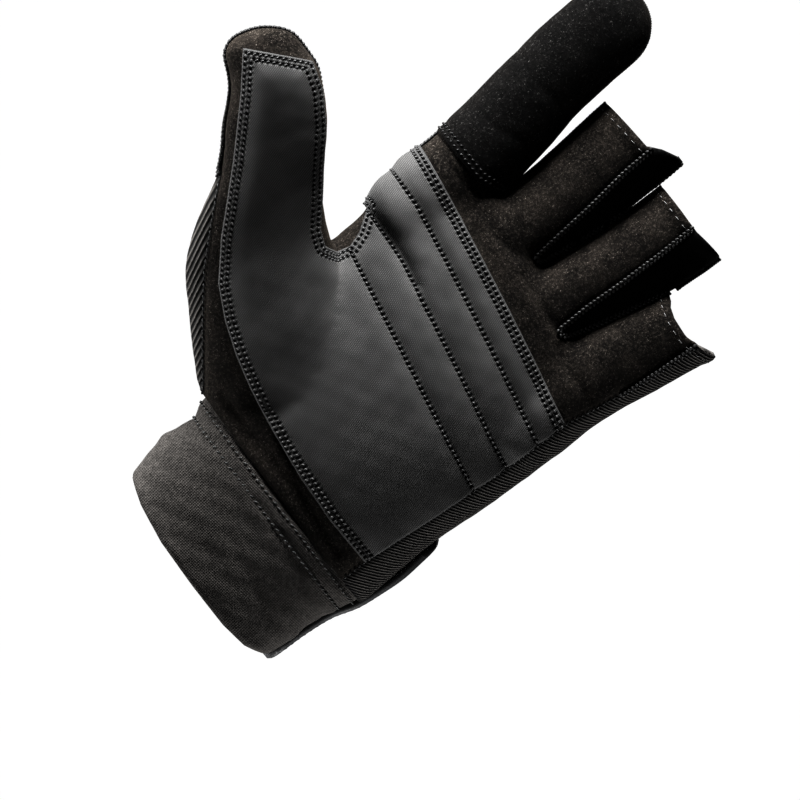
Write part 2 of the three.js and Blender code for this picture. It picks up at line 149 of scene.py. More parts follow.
INDEX_ROWS = (
    (108, -37.5, 0.0, 13.2, 13.5, 13.5, 0),
    (124, -39.0, 0.0, 13.5, 13.0, 13.0, 0),
    (138, -39.6, -0.6, 12.9, 12.4, 12.6, 0),
    (149, -40.6, -1.3, 12.6, 12.0, 12.3, 0),
    (160, -41.7, -2.2, 12.5, 11.6, 12.0, 0),
    (172, -43.2, -3.3, 12.0, 11.2, 11.6, 0),
    (185, -44.1, -4.7, 12.1, 10.7, 11.2, 0),
    (196.5, -44.2, -6.2, 12.2, 10.1, 10.6, 0),
)
MIDDLE_ROWS = (
    (106, -15.0, 0.0, 12.5, 13.5, 13.5, 0),
    (122, -14.9, 0.5, 12.4, 13.2, 13.2, 0),
    (136, -14.7, 0.5, 12.0, 12.8, 12.8, 0),
    (148, -13.6, 0.2, 12.1, 12.4, 12.4, 0),
    (160, -12.8, -0.3, 13.0, 12.2, 12.2, 0),
    (172, -12.9, -1.0, 13.6, 12.0, 12.0, 0),
    (184, -13.0, -1.8, 14.0, 11.8, 11.8, 0),
    (198, -13.0, -2.8, 14.2, 11.8, 11.8, 0),
)
RING_ROWS = (
    (102, 8.0, 0.0, 12.5, 13.2, 13.2, 0),
    (118, 8.8, 0.3, 12.2, 12.8, 12.8, 0),
    (130, 9.7, 0.2, 12.1, 12.4, 12.4, 0),
    (140, 10.9, -0.1, 12.6, 12.1, 12.1, 0),
    (150, 12.9, -0.6, 12.8, 11.9, 11.9, 0),
    (160, 14.9, -1.1, 13.2, 11.7, 11.7, 0),
    (170, 16.1, -1.8, 13.4, 11.5, 11.5, 0),
    (190, 16.9, -3.0, 13.4, 11.5, 11.5, 0),
)
LITTLE_ROWS = (
    (94, 30.0, -1.0, 13.6, 12.6, 12.6, 0),
    (110, 31.0, -1.4, 13.0, 12.0, 12.0, 0),
    (124, 32.4, -1.8, 13.1, 11.6, 11.6, 0),
    (134, 34.3, -2.2, 13.2, 11.2, 11.2, 0),
    (144, 36.6, -2.8, 12.9, 10.9, 10.9, 0),
    (154, 39.2, -3.4, 12.1, 10.6, 10.6, 0),
    (166, 42.6, -4.4, 11.2, 10.4, 10.4, 0),
)


class Tube:
    """A tube through sections, from a point in the palm's plane, leaning towards the thumb by an angle."""

    def __init__(self, rows, at=(0, 0), lean=0.0, squareness=2.1, cap=0.0):
        self.rows = np.array(rows, float)
        self.at, self.lean, self.squareness, self.cap = at, math.radians(lean), squareness, cap

    def sections(self, along):
        """Half sizes and centre at each distance along the tube, on smooth curves through the rows."""
        s, values = self.rows[:, 0], self.rows[:, 1:]
        slope = np.gradient(values, s, axis=0)
        k = np.clip(np.searchsorted(s, along) - 1, 0, len(s) - 2)
        h = (s[k + 1] - s[k])[:, None]
        t = ((along - s[k]) / (s[k + 1] - s[k]))[:, None]
        return (
            (2 * t**3 - 3 * t**2 + 1) * values[k]
            + (t**3 - 2 * t**2 + t) * h * slope[k]
            + (3 * t**2 - 2 * t**3) * values[k + 1]
            + (t**3 - t**2) * h * slope[k + 1]
        )

    def surface(self, step, sides):
        """Rings of points along the tube as an array of ring, point, xyz."""
        along = np.linspace(self.rows[0, 0], self.rows[-1, 0], int(np.ptp(self.rows[:, 0]) / step) + 2)
        size = self.sections(along)
        shrink = np.ones(len(along))
        if self.cap:
            turn = np.linspace(0, math.pi / 2, 12)[1:]
            along = np.append(along, along[-1] + self.cap * np.sin(turn))
            size = np.vstack([size, np.repeat(size[-1:], len(turn), 0)])
            shrink = np.append(shrink, np.maximum(np.cos(turn), 0.01))
        angle = np.linspace(0, 2 * math.pi, sides, endpoint=False)
        power = 2 / self.squareness
        c = np.sign(np.cos(angle)) * np.abs(np.cos(angle)) ** power
        s = np.sign(np.sin(angle)) * np.abs(np.sin(angle)) ** power
        across, depth, width, front, back, rise = (size[:, i, None] for i in range(6))
        side = c * width * shrink[:, None]
        up = along[:, None] + side * rise
        out = across + side
        y = depth + s * np.where(s < 0, front, back) * shrink[:, None]
        x = self.at[0] + out * math.cos(self.lean) - up * math.sin(self.lean)
        z = self.at[1] + out * math.sin(self.lean) + up * math.cos(self.lean)
        return np.stack([x, y, z], -1)


def grid_faces(rings, sides, closed_ends):
    """Quads of a tube of rings, and a fan on each end if it is closed."""
    ring, side = np.meshgrid(np.arange(rings - 1), np.arange(sides), indexing="ij")
    low = ring * sides + side
    right = ring * sides + (side + 1) % sides
    quads = np.stack([low, right, right + sides, low + sides], -1).reshape(-1, 4).tolist()
    if closed_ends:
        quads.append(list(range(sides))[::-1])
        quads.append(list(range((rings - 1) * sides, rings * sides)))
    return quads


def mesh_of(name, points_mm, faces):
    mesh = bpy.data.meshes.new(name)
    faces = faces if isinstance(faces, list) else faces.tolist()
    mesh.from_pydata((np.asarray(points_mm) * 0.001).tolist(), [], faces)
    mesh.shade_smooth()
    return mesh


GLOVE_TUBES = (
    Tube(PALM_ROWS, squareness=2.2, cap=9),
    Tube(THUMB_ROWS, at=(-30, 66), lean=58, squareness=2.15, cap=6.5),
    Tube(INDEX_ROWS, cap=13),
    Tube(MIDDLE_ROWS),
    Tube(RING_ROWS),
    Tube(LITTLE_ROWS),
)
TUBE_STEP, TUBE_SIDES = 2.0, 64
FORM_GRAIN = 0.00082
points, faces, used = [], [], 0
for tube in GLOVE_TUBES:
    rings = tube.surface(TUBE_STEP, TUBE_SIDES)
    points.append(rings.reshape(-1, 3))
    faces += [[i + used for i in face] for face in grid_faces(len(rings), TUBE_SIDES, True)]
    used += len(points[-1])
form = bpy.data.objects.new("form", mesh_of("form", np.vstack(points), faces))
scene.collection.objects.link(form)
remesh = form.modifiers.new("merge", "REMESH")
remesh.mode = "VOXEL"
remesh.voxel_size = FORM_GRAIN
bpy.context.view_layer.update()
merged = form.evaluated_get(bpy.context.evaluated_depsgraph_get()).to_mesh()
merged.calc_loop_triangles()
co = np.empty(len(merged.vertices) * 3)
merged.vertices.foreach_get("co", co)
co = co.reshape(-1, 3) * 1000
tri = np.empty(len(merged.loop_triangles) * 3, np.int32)
merged.loop_triangles.foreach_get("vertices", tri)
tri = tri.reshape(-1, 3)
bpy.data.objects.remove(form)


def edges_of(tri):
    """The edges of triangles: all the first ones, then the second, then the third."""
    return np.concatenate([tri[:, (0, 1)], tri[:, (1, 2)], tri[:, (2, 0)]])


def links_of(tri):
    return np.unique(np.sort(edges_of(tri), axis=1), axis=0)


def unit(vectors):
    return vectors / np.maximum(np.linalg.norm(vectors, axis=-1, keepdims=True), 1e-9)


def bell(gap, wide):
    """1 on a line, and down to 0 within about twice this width."""
    return np.exp(-((gap / wide) ** 2))


def eased(values, pairs, rounds):
    """Values at points moved towards the mean of their neighbours, a few times over."""
    values = values.copy()
    a, b = pairs.T
    count = np.bincount(pairs.ravel(), minlength=len(values))[:, None]
    for _ in range(rounds):
        total = np.stack(
            [
                np.bincount(a, values[b, k], len(values)) + np.bincount(b, values[a, k], len(values))
                for k in range(values.shape[1])
            ],
            1,
        )
        values += 0.5 * (total / count - values)
    return values


def normals_of(co, tri):
    """Outward normal at each point."""
    face = np.cross(co[tri[:, 1]] - co[tri[:, 0]], co[tri[:, 2]] - co[tri[:, 0]])
    total = np.stack(
        [sum(np.bincount(tri[:, k], face[:, axis], len(co)) for k in range(3)) for axis in range(3)], 1
    )
    return unit(total)


EASING = 26
WEB_EASING = 60
SWELL = 0.25
pairs = links_of(tri)
co = eased(co, pairs, EASING)
beside_web = bell(co[:, 0] + 28, 18) * bell(co[:, 2] - 106, 9)
co += beside_web[:, None] * (eased(co, pairs, WEB_EASING) - co)
co += normals_of(co, tri) * SWELL


def distance_to(p, line):
    """Distance from points to a line of [x, z] corners, and how far along it the nearest point lies."""
    p = np.asarray(p, float)
    line = np.asarray(line, float)
    best = np.full(len(p), 1e9)
    place = np.zeros(len(p))
    gone = 0.0
    for a, b in zip(line[:-1], line[1:]):
        step = b - a
        length = math.hypot(*step)
        t = np.clip(((p - a) @ step) / length**2, 0, 1)
        d = np.linalg.norm(p - a - t[:, None] * step, axis=1)
        nearer = d < best
        best = np.where(nearer, d, best)
        place = np.where(nearer, gone + t * length, place)
        gone += length
    return best, place


def inside_of(p, outline):
    """Distance from points to a closed outline of [x, z] corners, positive inside."""
    outline = np.asarray(outline, float)
    closed = np.vstack([outline, outline[:1]])
    odd = np.zeros(len(p), bool)
    for (ax, az), (bx, bz) in zip(closed[:-1], closed[1:]):
        if az == bz:
            continue
        crosses = (az > p[:, 1]) != (bz > p[:, 1])
        odd ^= crosses & (p[:, 0] < ax + (p[:, 1] - az) * (bx - ax) / (bz - az))
    return np.where(odd, 1, -1) * distance_to(p, closed)[0]


# Folds that bending has left in the cloth on the palm side: a line, how deep the fold is, and its half width.
# A depth below zero makes a low ridge. Slack gives all the cloth a faint unevenness.
FOLDS = (
    (((-51, 108.4), (-42, 108.2), (-30, 105.8), (-22, 103.4)), 0.8, 2.2),
    (((-51, 112.5), (-40, 112.2), (-28, 109.6)), -0.5, 3.0),
    (((-67, 96), (-68, 88), (-65, 80), (-60, 74)), 0.6, 4.5),
    (((-57, 90), (-50, 80), (-46, 70)), 0.3, 5.0),
    (((-36, 92), (-30, 78), (-28, 60)), 0.3, 6.0),
    (((-33, 38), (-15, 36.5), (5, 36.2), (24, 34.5)), 0.7, 1.8),
    (((-12, 43), (5, 37.5)), 0.5, 1.5),
    (((-52, 134.3), (-40, 133.6), (-31, 134.6)), 0.5, 1.4),
    (((-25, 133), (-17, 131.2), (-9, 132)), 0.55, 1.6),
    (((-3, 130), (6, 128), (13, 127)), 0.55, 1.6),
    (((20, 124), (29, 121), (38, 121.5)), 0.6, 1.7),
    (((-28, 128), (-29, 136), (-28.5, 142)), 0.6, 1.6),
    (((-56, 171.5), (-45, 169.5), (-33, 171)), 0.5, 2.2),
    (((-52, 150.5), (-42, 151.8), (-33, 156)), 0.35, 1.8),
    (((-84, 96.5), (-80, 104), (-78, 110)), 0.2, 2.4),
)
normal = normals_of(co, tri)
palm_facing = np.clip(-normal[:, 1] * 2.0, 0, 1)
for line, deep, wide in FOLDS:
    away = distance_to(co[:, (0, 2)], line)[0]
    co -= normal * (deep * bell(away, wide) * palm_facing)[:, None]
SLACK = 0.07
x, y, z = co.T
slack = (
    np.sin(x * 0.31 + z * 0.13 + 1.1) * np.sin(z * 0.27 - x * 0.09 + y * 0.2)
    + 0.6 * np.sin(x * 0.71 - z * 0.43 + 2.0 + y * 0.3) * np.sin(z * 0.57 + x * 0.22)
)
co += normal * (SLACK * slack)[:, None]


class Cloth:
    """A surface of triangles, with an outward normal and named measures at each point. Millimetres."""

    def __init__(self, co, tri, nrm=None, **measures):
        self.co, self.tri, self.measures = co, tri, measures
        self.nrm = normals_of(co, tri) if nrm is None else nrm
        self.lining = tri

    @property
    def flat(self):
        return self.co[:, (0, 2)]

    def crossings(self, field):
        """The triangles that the line field = 0 crosses, and the new points on their edges."""
        inside = field > 0
        mixed = self.tri[np.isin(inside[self.tri].sum(1), (1, 2))]
        single = inside[mixed].sum(1) == 1
        odd = np.argmax(inside[mixed] == single[:, None], axis=1)
        row = np.arange(len(mixed))
        a, b, c = (mixed[row, (odd + k) % 3] for k in range(3))
        cut_edges = np.sort(np.concatenate([np.c_[a, b], np.c_[a, c]]), axis=1)
        ends, index = np.unique(cut_edges, axis=0, return_inverse=True)
        index = index.reshape(-1)
        t = field[ends[:, 0]] / (field[ends[:, 0]] - field[ends[:, 1]])
        return a, b, c, single, ends, t, index[: len(a)], index[len(a) :]

    def cut(self, field):
        """The part where field is positive, with a clean edge where it is zero."""
        a, b, c, single, ends, t, ab, ac = self.crossings(field)
        count = len(self.co)
        ab, ac = ab + count, ac + count
        tri = np.concatenate(
            [
                self.tri[(field > 0)[self.tri].all(1)],
                np.c_[a, ab, ac][single],
                np.c_[ab, b, c][~single],
                np.c_[ab, c, ac][~single],
            ]
        )
        kept, tri = np.unique(tri, return_inverse=True)
        tri = tri.reshape(-1, 3)

        def mixed(values):
            w = t if values.ndim == 1 else t[:, None]
            return np.concatenate([values, values[ends[:, 0]] * (1 - w) + values[ends[:, 1]] * w])[kept]

        measures = {k: mixed(v) for k, v in self.measures.items()}
        return Cloth(mixed(self.co), tri, unit(mixed(self.nrm)), **measures)

    def lines(self, field):
        """The lines where field is zero, each an array of points and normals."""
        a, b, c, single, ends, t, ab, ac = self.crossings(field)
        co = self.co[ends[:, 0]] * (1 - t[:, None]) + self.co[ends[:, 1]] * t[:, None]
        nrm = self.nrm[ends[:, 0]] * (1 - t[:, None]) + self.nrm[ends[:, 1]] * t[:, None]
        beside = {}
        for p, q in zip(ab.tolist(), ac.tolist()):
            beside.setdefault(p, []).append(q)
            beside.setdefault(q, []).append(p)
        found, seen = [], set()
        starts = [p for p in beside if len(beside[p]) == 1] + list(beside)
        for start in starts:
            if start in seen:
                continue
            chain = [start]
            seen.add(start)
            while True:
                ahead = [q for q in beside[chain[-1]] if q not in seen]
                if not ahead:
                    break
                chain.append(ahead[0])
                seen.add(ahead[0])
            if len(chain) > 6:
                found.append(np.hstack([co[chain], nrm[chain]]))
        return found

    def finer(self):
        """The same surface with each triangle split in four. Its lining keeps the triangles as they were."""
        edges = edges_of(self.tri)
        ends, index, count = np.unique(np.sort(edges, axis=1), axis=0, return_inverse=True, return_counts=True)
        outside = count[index.reshape(-1)] == 1
        index = index.reshape(-1) + len(self.co)
        n = len(self.tri)
        ab, bc, ca = index[:n], index[n : 2 * n], index[2 * n :]
        a, b, c = self.tri.T
        tri = np.concatenate([np.c_[a, ab, ca], np.c_[ab, b, bc], np.c_[ca, bc, c], np.c_[ab, bc, ca]])

        def halved(values):
            return np.concatenate([values, values[ends].mean(1)])

        made = Cloth(halved(self.co), tri, None, **{k: halved(v) for k, v in self.measures.items()})
        made.lining = np.vstack([self.tri, np.c_[index, edges[:, ::-1]][outside]])
        return made


glove = Cloth(co, tri)

# Lines where the pieces of cloth meet, seen flat on the palm as x and z. The parting is the depth of the seam
# between palm side and back, which dips forward along the fingers and the thumb.
LITTLE_SIDE_SEAM = (
    (31.2, 20), (31.6, 38), (33, 50), (34.6, 62), (36.2, 76), (37.6, 90), (38.4, 102), (39, 112),
    (41, 121), (43, 132), (44.4, 144), (45.6, 156),
)
THUMB_SIDE_SEAM = ((-84.5, 79.5), (-75.5, 69), (-65.5, 57.5), (-55.5, 48.5), (-46, 40.3), (-38.5, 34))
HEM = (
    (-29.2, 182), (-9, 182.6), (-5, 185.6), (2.1, 188.8), (2.1, 178.8), (10, 178.2), (20, 177.6),
    (31.2, 178.7), (31.2, 169), (28.3, 160.3), (31, 157.6), (35, 156), (42, 155), (46.5, 156), (55, 159.4),
)
MIDDLE_SIDE = ((-7.9, 200), (-7.6, 172), (-6.4, 158), (-6, 146), (-5.6, 136))
MIDDLE_LIMIT = ((-3.4, 136), (-1, 148), (0.7, 158), (1.5, 172), (2.1, 200))
RING_SIDE = ((18.8, 200), (18, 165), (17.1, 150), (16, 138), (15.8, 127))
RING_LIMIT = ((18.2, 127), (22.4, 138), (25.2, 148), (27.9, 159), (31.2, 169), (31.2, 200))
FINGER_PARTING = ((0, 3), (118, 3), (140, 0.5), (160, -1), (178, -2.5), (197, -5.5), (220, -7.5))
THUMB_PARTING = ((53, 3), (58, -3), (64, -8.5), (75, -16), (92, -24.5), (130, -28))
THUMB_LIMIT_X, THUMB_LIMIT_Z = -53, 128
CUFF_SEAM_HEIGHT, CUFF_SEAM_RISE = 31.3, -0.05


def palm_side(co):
    """How far points lie on the palm side of the parting."""
    heights, depths = zip(*FINGER_PARTING)
    fingers = np.interp(co[:, 2], heights, depths)
    outs, thumb_depths = zip(*THUMB_PARTING)
    thumb = np.interp(-co[:, 0], outs, thumb_depths)
    on_thumb = (co[:, 0] < THUMB_LIMIT_X) & (co[:, 2] < THUMB_LIMIT_Z)
    return np.where(on_thumb, thumb, fingers) - co[:, 1]


palm_outline = (
    *LITTLE_SIDE_SEAM, (46, 220), (-125, 220), (-125, 108), (-94, 88), *THUMB_SIDE_SEAM, (-38.5, 20),
)
glove.measures.update(
    seam=np.minimum(inside_of(glove.flat, palm_outline), palm_side(glove.co)),
    hem=-inside_of(glove.flat, (*HEM, (55, 240), (-29.2, 240))),
    cuff=glove.co[:, 2] - (CUFF_SEAM_HEIGHT + CUFF_SEAM_RISE * glove.co[:, 0]),
)
glove = glove.cut(glove.measures["hem"])
glove = glove.cut(glove.measures["cuff"])


def make(name, mesh, finish, slot, *replaced):
    """Links a piece into the scene and ties it to the frame."""
    made = bpy.data.objects.new(name, mesh)
    scene.collection.objects.link(made)
    mesh.materials.append(finish)
    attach(made, "root")
    if replaced:
        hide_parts(*replaced)
    return made


def sew(name, cloth, rise, wall, finish, slot, *replaced, **told):
    """Makes a piece of cloth. Its face stands off the form by rise, and its lining lies wall below that."""
    outer = cloth.co + cloth.nrm * np.reshape(rise, (-1, 1))
    inner = outer - cloth.nrm * wall
    edges = edges_of(cloth.tri)
    _, first, count = np.unique(np.sort(edges, axis=1), axis=0, return_index=True, return_counts=True)
    rim = edges[first[count == 1]]
    n = len(outer)
    sides = np.c_[rim[:, 1], rim[:, 0], rim[:, 0] + n, rim[:, 1] + n]
    lined = np.unique(cloth.lining)
    place = np.arange(2 * n)
    place[lined + n] = np.arange(len(lined)) + n
    faces = cloth.tri.tolist() + place[cloth.lining[:, ::-1] + n].tolist() + place[sides].tolist()
    mesh = mesh_of(name, np.vstack([outer, inner[lined]]), faces)
    for title, values in told.items():
        values = np.concatenate([values, values[lined]]).astype(np.float32)
        mesh.attributes.new(title, "FLOAT", "POINT").data.foreach_set("value", values)
    return make(name, mesh, finish, slot, *replaced)


class Dye:
    """One socket of a material's nodes. Arithmetic on it adds Math nodes."""

    def __init__(self, tree, socket=None):
        self.tree, self.socket = tree, socket

    def node(self, kind, settings=None, values=None, out=0):
        made = self.tree.nodes.new(kind)
        for name, value in (settings or {}).items():
            setattr(made, name, value)
        for name, value in (values or {}).items():
            if isinstance(value, Dye):
                self.tree.links.new(value.socket, made.inputs[name])
            else:
                made.inputs[name].default_value = value
        return Dye(self.tree, made.outputs[out])

    def math(self, operation, *values, clamp=False):
        settings = {"operation": operation, "use_clamp": clamp}
        return self.node("ShaderNodeMath", settings, dict(enumerate(values)))

    def __add__(self, other):
        return self.math("ADD", self, other)

    __radd__ = __add__

    def __mul__(self, other):
        return self.math("MULTIPLY", self, other)

    __rmul__ = __mul__

    def __sub__(self, other):
        return self.math("SUBTRACT", self, other)

    def __rsub__(self, other):
        return self.math("SUBTRACT", other, self)

    def __pow__(self, other):
        return self.math("POWER", self, other)

    def sine(self):
        return self.math("SINE", self)

    def held(self):
        """The value kept between 0 and 1."""
        return self.math("ADD", self, 0.0, clamp=True)

    def ramp(self, low, high):
        """0 at low and 1 at high, on a smooth curve."""
        settings = {"interpolation_type": "SMOOTHSTEP"}
        return self.node("ShaderNodeMapRange", settings, {"Value": self, "From Min": low, "From Max": high})

    def measure(self, name):
        return self.node("ShaderNodeAttribute", {"attribute_name": name}, out="Fac")

    def noise(self, grain_mm, detail, rough=0.55):
        """Cloudy noise with grains of about this size, from 0 to 1."""
        place = self.node("ShaderNodeTexCoord", out="Object")
        values = {"Vector": place, "Scale": 1000 / grain_mm, "Detail": detail, "Roughness": rough}
        return self.node("ShaderNodeTexNoise", None, values)

    def mixed(self, share, first, second):
        """A colour between two others."""
        sockets = {0: share, 6: first, 7: second}
        return self.node("ShaderNodeMix", {"data_type": "RGBA"}, sockets, out=2)

    def bump(self, height, deep_mm):
        values = {"Height": height, "Distance": deep_mm / 1000, "Strength": 1.0}
        return self.node("ShaderNodeBump", None, values)


class Finish(Dye):
    """A material with its main shader."""

    def __init__(self, name, specular, sheen=0.0, sheen_rough=0.5, sheen_color=(1, 1, 1)):
        self.material = bpy.data.materials.new(name)
        self.material.use_nodes = True
        super().__init__(self.material.node_tree)
        self.shader = self.tree.nodes["Principled BSDF"]
        self.shader.inputs["Sheen Weight"].default_value = sheen
        self.shader.inputs["Sheen Roughness"].default_value = sheen_rough
        self.shader.inputs["Sheen Tint"].default_value = (*sheen_color, 1)
        self.shader.inputs["Specular IOR Level"].default_value = specular

    def wear(self, **links):
        for name, value in links.items():
            self.tree.links.new(value.socket, self.shader.inputs[name.replace("_", " ")])
        return self.material


# Palm panel. Black-brown synthetic suede with a short nap. It covers the palm and the palm side of the fingers
# and the thumb, and the grey overlay lies on it. It is sewn edge to edge to the back all the way round.
SUEDE_WALL = 1.5
SEAM_DIP, SEAM_REACH = 0.55, 1.0
HEM_RISE, HEM_BAND, HEM_SOFTNESS = 0.45, 3.4, 0.35


def suede(name, dark, middle, light, grain_mm, specks, sheen):
    nap = Finish(name, sheen=sheen, sheen_rough=0.4, sheen_color=(0.85, 0.7, 0.56), specular=0.12)
    cloud = nap.noise(9.0, 2.0)
    crumb = nap.noise(grain_mm, 4.0, 0.7)
    fibre = nap.noise(grain_mm * 0.42, 3.0, 0.8)
    tone = (cloud.ramp(0.35, 0.7) * 0.4 + crumb.ramp(0.4, 0.64) * 0.6) * (fibre.ramp(0.25, 0.75) * 1.3)
    speck = fibre.ramp(0.6, 0.68) * crumb.ramp(0.48, 0.58) * specks
    # Painted shade: the colour darkens towards the seam edge, within about 1.6 mm of it, where the cloth sinks
    # into the seam. A piece with no edge measure takes this darkening all over.
    edge = nap.measure("edge").ramp(0.0, 1.6)
    color = nap.mixed(tone.held(), dark, middle)
    color = nap.mixed(speck.held(), color, light)
    color = nap.mixed((1 - edge) * 0.55, color, dark)
    height = crumb * 0.6 + fibre * 0.4
    return nap.wear(Base_Color=color, Normal=nap.bump(height, 0.38), Roughness=0.98 - 0.12 * crumb)


palm_suede = suede(
    "palm_suede", dark=(0.006, 0.0053, 0.0047, 1), middle=(0.066, 0.057, 0.049, 1),
    light=(0.3, 0.275, 0.25, 1), grain_mm=0.9, specks=1.15, sheen=0.06,
)
palm = glove.cut(glove.measures["seam"])
palm.measures.update(
    middle=inside_of(palm.flat, (*MIDDLE_SIDE, *MIDDLE_LIMIT)),
    ring=inside_of(palm.flat, (*RING_SIDE, *RING_LIMIT)),
)
palm_cloth = palm.cut(-palm.measures["middle"])
palm_cloth = palm_cloth.cut(-palm_cloth.measures["ring"])


def rolled(edge, deep, wide):
    """How cloth sinks towards a seam at its edge."""
    return -deep * bell(np.maximum(edge, 0), wide)


def hemmed(cloth):
    """Rise of a turned hem: a band of double cloth below the rim, with a rounded lip."""
    hem = cloth.measures["hem"]
    band = HEM_RISE * (1 - 1 / (1 + np.exp(-(hem - HEM_BAND) / HEM_SOFTNESS)))
    return band + rolled(hem, 0.5, 0.5)


m = palm_cloth.measures
edge = np.minimum(np.minimum(m["seam"], m["cuff"]), np.minimum(-m["middle"], -m["ring"]))
rise = rolled(edge, SEAM_DIP, SEAM_REACH) + hemmed(palm_cloth)
sew("palm_suede", palm_cloth, rise, SUEDE_WALL, palm_suede, "suede", "palm_panel", "thumb_suede", edge=edge)

# Side strips of the middle and ring finger stalls. Thin smooth black stretch cloth, each sewn between the
# palm side and the back of its finger, so that the stall can bend.
STRIP_WALL = 1.2
STRIP_SINK = 0.2
strip = Finish("side_cloth", specular=0.12)
weave = strip.noise(0.7, 3.0, 0.6)
strip_color = strip.mixed(weave.ramp(0.3, 0.75), (0.002, 0.002, 0.002, 1), (0.006, 0.006, 0.006, 1))
side_cloth = strip.wear(Base_Color=strip_color, Normal=strip.bump(weave, 0.12), Roughness=0.8 + 0.15 * weave)
for finger in ("middle", "ring"):
    cloth = palm.cut(palm.measures[finger])
    edge = np.minimum(cloth.measures["seam"], cloth.measures[finger])
    rise = rolled(edge, 0.4, SEAM_REACH) + hemmed(cloth) - STRIP_SINK
    sew(f"{finger}_side", cloth, rise, STRIP_WALL, side_cloth, "side_knit", f"fourchette_{finger}", edge=edge)

# Back. Ribbed stretch knit that wraps from the little-finger side over the back to the thumb side. Its fine
# ribs climb as they run round, and a seam along the thumb joins a second panel with ribs of another direction.
RIB_PITCH = 1.07
RIB_CLIMB = 10.3
RIB_CENTRE_X, RIB_CENTRE_Y = 20, -6
THUMB_RIB_PITCH = 1.4
THUMB_KNIT_SEAM = ((-34, 20), (-38, 60), (-47, 84), (-56, 97), (-58, 112))
back = glove.cut(-glove.measures["seam"])
back.measures["join"] = inside_of(back.flat, (*THUMB_KNIT_SEAM, (-140, 150), (-140, 0), (-34, -20)))
knit = Finish("rib_knit", sheen=0.04, sheen_rough=0.3, sheen_color=(0.9, 0.9, 0.92), specular=0.2)
rib_at = knit.measure("rib")
waver = knit.noise(5.0, 2.0) * 0.8
ridge = ((rib_at + waver * 0.25) * (2 * math.pi)).sine() * 0.5 + 0.5
loop = knit.noise(0.55, 2.0, 0.6)
# Painted shade: the colour goes nearly black in the gaps between the ribs and lighter on their crests,
# following the rib profile; the loop noise is the knit's own tone.
rib_loops_and_gap_shade = (ridge ** 2) * (0.45 + 0.9 * loop)
rib_color = knit.mixed(rib_loops_and_gap_shade.held(), (0.004, 0.004, 0.004, 1), (0.14, 0.132, 0.124, 1))
# Painted shade: the knit darkens to near black within about 1.8 mm of its seams, where the cloth sinks into
# them.
rib_edge = knit.measure("edge").ramp(0.0, 1.8)
rib_color = knit.mixed(1 - rib_edge, rib_color, (0.004, 0.004, 0.004, 1))
rib_bump = knit.bump(ridge + 0.25 * loop, 0.7)
rib_knit = knit.wear(Base_Color=rib_color, Normal=rib_bump, Roughness=0.92 - 0.15 * ridge)
x, y, z = back.co.T
behind = y - RIB_CENTRE_Y
behind = np.where(x < RIB_CENTRE_X, np.maximum(behind, 0.01), behind)
back.measures["across"] = (z - RIB_CLIMB * np.arctan2(behind, x - RIB_CENTRE_X)) / RIB_PITCH
back.measures["along"] = (0.92 * x + 0.38 * z) / THUMB_RIB_PITCH
for name, node, cloth, rib_run in (
    ("back_knit", "back_panel", back.cut(-back.measures["join"]), "across"),
    ("thumb_knit", "thumb_panel", back.cut(back.measures["join"]), "along"),
):
    m = cloth.measures
    edge = np.minimum(np.minimum(-m["seam"], m["cuff"]), np.abs(m["join"]))
    rise = rolled(edge, SEAM_DIP, SEAM_REACH) + hemmed(cloth)
    sew(name, cloth, rise, SUEDE_WALL, rib_knit, "rib_knit", node, edge=edge, rib=m[rib_run])

# Cover of the index finger. A second layer of blacker, coarser suede over the palm side of the whole finger,
# which takes the wear of the line. Its lower edge lies free on the palm and is held by two rows of stitches.
COVER_EDGE = ((-64, 138.4), (-45, 137.6), (-34.5, 137.2), (-26, 140.5))
COVER_RISE = 1.25
COVER_WALL = 1.0
COVER_ROW_INSETS = (1.3, 3.0)
cover_suede = suede(
    "cover_suede", dark=(0.0016, 0.0016, 0.0016, 1), middle=(0.017, 0.0162, 0.0155, 1),
    light=(0.17, 0.165, 0.16, 1), grain_mm=1.05, specks=1.2, sheen=0.025,
)
cover_outline = (*COVER_EDGE, (-28.4, 152), (-29.2, 162), (-29.6, 225), (-62, 225))
cover = glove.cut(np.minimum(inside_of(glove.flat, cover_outline), palm_side(glove.co)))
base = distance_to(cover.flat, COVER_EDGE)[0]
edge = np.minimum(base, palm_side(cover.co))
rise = COVER_RISE + rolled(base, 0.5, 0.6) + rolled(palm_side(cover.co), 1.1, 1.6)
rise -= 0.3 * bell(base - 3.4, 1.1)
sew("index_suede", cover, rise, COVER_WALL, cover_suede, "cover_suede", "index_cover", edge=edge)

# Overlay. Grey coated twill with thin padding, in one piece from the tip of the thumb over the palm. Double
# rows of stitches hold its edges, and three single rows across the palm quilt it into soft channels.
OVERLAY_RISE = 1.35
OVERLAY_WALL = 1.0
OVERLAY_INSET = 1.5
NORMAL_EASING = 14
EDGE_ROW_INSETS = (1.25, 2.85)
CHANNEL_RISE = 0.65
STITCH_PITCH = 1.65
TIP = ((-92.2, 121.8), (-108, 109))
HEEL = (
    (-98.5, 100.4), (-84.6, 85.6), (-69.6, 67.9), (-59.8, 58.6), (-50, 53), (-40, 48.9), (-29.5, 45.7),
    (-19.5, 43.4), (-9.5, 41.5), (0, 40.2), (15, 38.6), (31.6, 38.4),
)
DISTAL = ((38.2, 110.8), (20, 115.4), (0, 120.2), (-20, 124.6), (-40, 128.9), (-54.5, 131.6))
NOTCH = (
    (-48.6, 107.2), (-44.6, 100.5), (-43.2, 95.6), (-44.6, 91.3), (-48.4, 89.6), (-53, 91.8), (-59.4, 97.6),
    (-66.5, 104), (-75, 112.4), (-84, 118.8),
)
